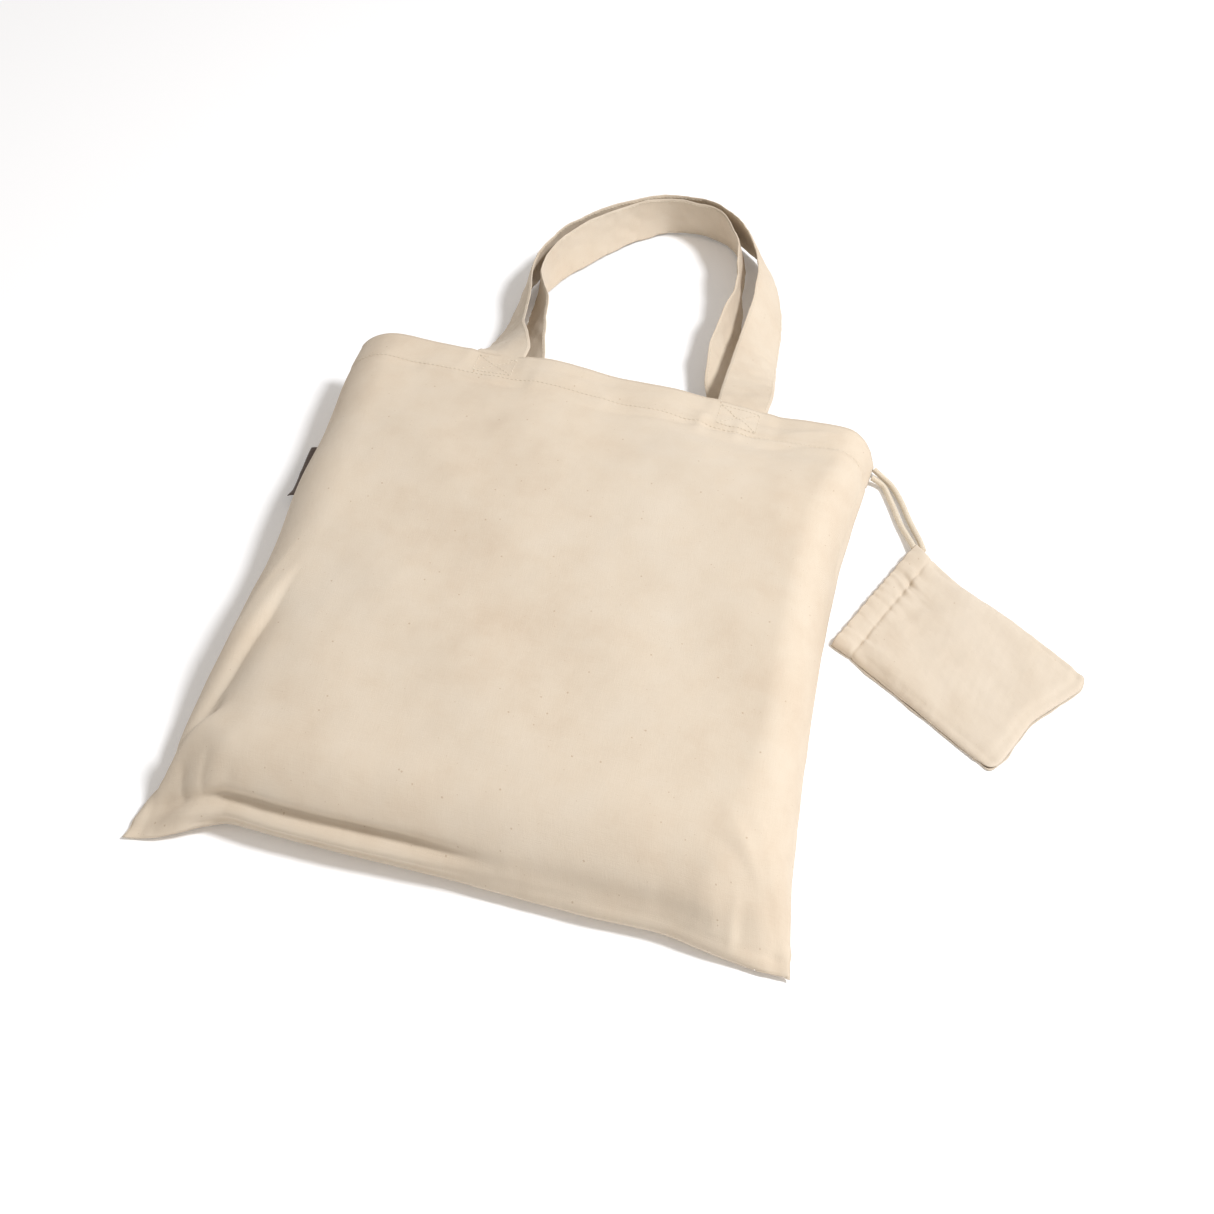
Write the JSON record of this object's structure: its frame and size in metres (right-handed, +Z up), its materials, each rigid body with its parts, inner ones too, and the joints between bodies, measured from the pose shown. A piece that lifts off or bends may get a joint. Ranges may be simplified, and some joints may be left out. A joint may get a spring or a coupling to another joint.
{
  "type": "foldable tote bag",
  "caption": "Flat cotton tote bag with long handles and a small drawcord pouch sewn to its side seam, into which it folds away.",
  "frame": {"origin": "middle of the back panel's outer face, on the surface the bag lies on", "axes": "+X across the bag's width, +Y from the closed bottom towards the mouth and handles, +Z up out of the back panel"},
  "size_m": [0.5304, 0.6531, 0.052],
  "materials": {
    "calico": "plain-weave unbleached cotton",
    "strap_calico": "folded and edge-stitched unbleached cotton",
    "pouch_calico": "plain-weave unbleached cotton",
    "cotton_cord": "soft braided cotton",
    "thread": "cotton sewing thread",
    "label_tape": "folded woven satin tape"
  },
  "bodies": {
    "tote": {"tote_back_panel": "calico", "tote_front_panel": "calico", "front_hem": "calico", "back_hem": "calico", "side_seam_left": "calico", "side_seam_right": "calico", "bottom_seam": "calico", "front_strap_end_left": "strap_calico", "front_strap_end_right": "strap_calico", "back_strap_end_left": "strap_calico", "back_strap_end_right": "strap_calico", "box_stitch_front_left": "thread", "box_stitch_front_right": "thread", "box_stitch_back_left": "thread", "box_stitch_back_right": "thread", "hem_stitch_front": "thread", "hem_stitch_back": "thread", "cord_tack": "thread"},
    "front_handle": {"front_handle": "strap_calico"},
    "back_handle": {"back_handle": "strap_calico"},
    "label": {"side_label": "label_tape"},
    "cord": {"drawcord_strand_a": "cotton_cord", "drawcord_strand_b": "cotton_cord"},
    "pouch": {"pouch_front_panel": "pouch_calico", "pouch_back_panel": "pouch_calico", "pouch_casing_front": "pouch_calico", "pouch_casing_side_near": "pouch_calico", "pouch_casing_side_far": "pouch_calico", "pouch_casing_back": "thread", "pouch_casing_cord": "cotton_cord", "pouch_casing_stitch": "thread"}
  },
  "joints": [
    {"name": "front_handle_swing", "type": "hinge", "parent": "tote", "child": "front_handle", "pos_m": [0, 0.209, 0.047], "axis": [1, 0, 0], "range_deg": [0, 170]},
    {"name": "back_handle_swing", "type": "hinge", "parent": "tote", "child": "back_handle", "pos_m": [0, 0.209, 0.003], "axis": [1, 0, 0], "range_deg": [0, 50]},
    {"name": "label_flap", "type": "hinge", "parent": "tote", "child": "label", "pos_m": [-0.1876, 0.1025, 0.0084], "axis": [0, 1, 0], "range_deg": [-40, 45]},
    {"name": "cord_swing", "type": "hinge", "parent": "tote", "child": "cord", "pos_m": [0.187, 0.1962, 0.0022], "axis": [0, 0, 1], "range_deg": [0, 75]},
    {"name": "pouch_swivel", "type": "hinge", "parent": "cord", "child": "pouch", "pos_m": [0.2185, 0.1385, 0.0022], "axis": [0, 0, 1], "range_deg": [0, 50]}
  ]
}
